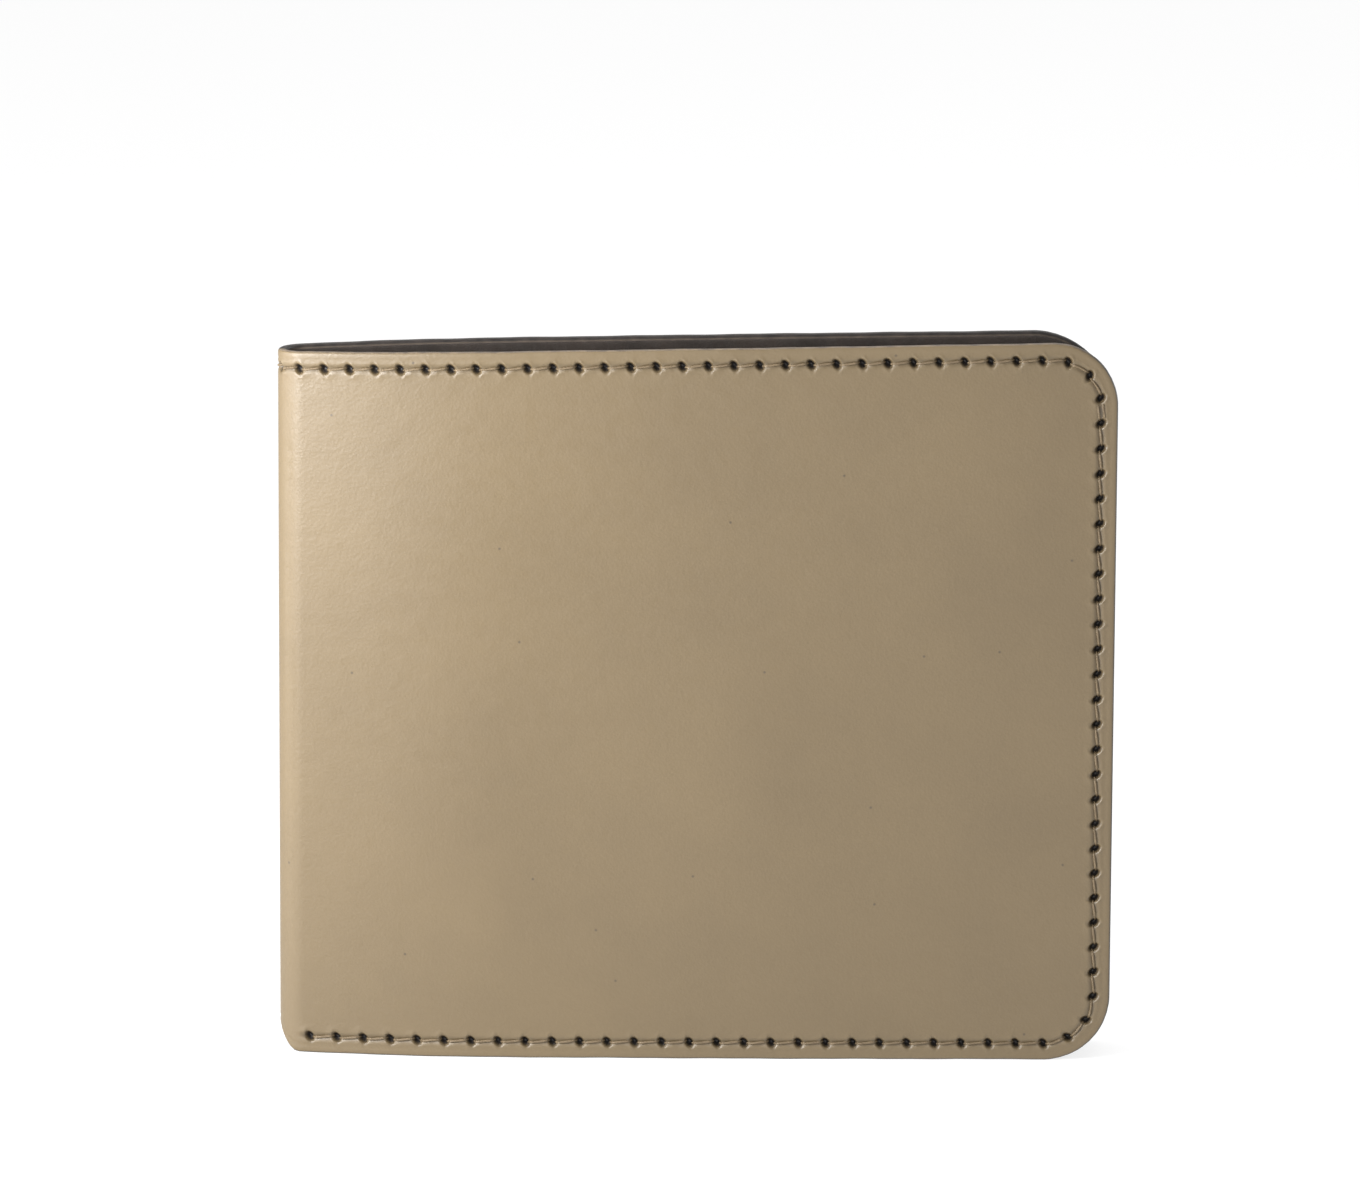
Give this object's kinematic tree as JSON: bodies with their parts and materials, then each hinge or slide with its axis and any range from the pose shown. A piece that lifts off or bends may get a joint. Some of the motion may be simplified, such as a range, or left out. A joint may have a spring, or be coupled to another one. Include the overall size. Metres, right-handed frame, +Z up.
{
  "type": "bifold wallet",
  "caption": "Hand-stitched bifold wallet in taupe leather with dark inner pockets, closed and standing on its long edge; it folds open at the spine.",
  "frame": {"origin": "middle of the closed wallet's length and thickness, at the long bottom edge it stands on", "axes": "+X towards the open side, -X the fold, -Y out of the front half, +Y out of the back half, +Z up"},
  "size_m": [0.1141, 0.0132, 0.0996],
  "materials": {
    "cover_leather": "smooth, fine grained, matt",
    "inner_leather": "smooth, satin",
    "lining": "matt",
    "thread": "waxed"
  },
  "bodies": {
    "back_half": {"cover_back": "cover_leather", "seam_back": "thread", "lining_back": "lining", "panel_back": "inner_leather", "pocket_back_1": "inner_leather", "foot_seam_back_1": "thread", "pocket_back_2": "inner_leather", "foot_seam_back_2": "thread", "pocket_back_3": "inner_leather", "side_seam_back": "thread"},
    "spine": {"spine": "cover_leather", "spine_lining": "lining", "spine_seam": "thread"},
    "front_half": {"cover_front": "cover_leather", "seam_front": "thread", "lining_front": "lining", "panel_front": "inner_leather", "pocket_front_1": "inner_leather", "foot_seam_front_1": "thread", "pocket_front_2": "inner_leather", "foot_seam_front_2": "thread", "pocket_front_3": "inner_leather", "side_seam_front": "thread"}
  },
  "joints": [
    {"name": "fold_1", "type": "hinge", "parent": "back_half", "child": "spine", "pos_m": [-0.05583, 0.00283, 0.049], "axis": [0, 0, -1], "range_deg": [0, 90]},
    {"name": "fold_2", "type": "hinge", "parent": "spine", "child": "front_half", "pos_m": [-0.05583, -0.00283, 0.049], "axis": [0, 0, -1], "range_deg": [0, 90]}
  ],
  "couplings": [
    {"joint": "fold_2", "follows": "fold_1", "ratio": 1}
  ]
}
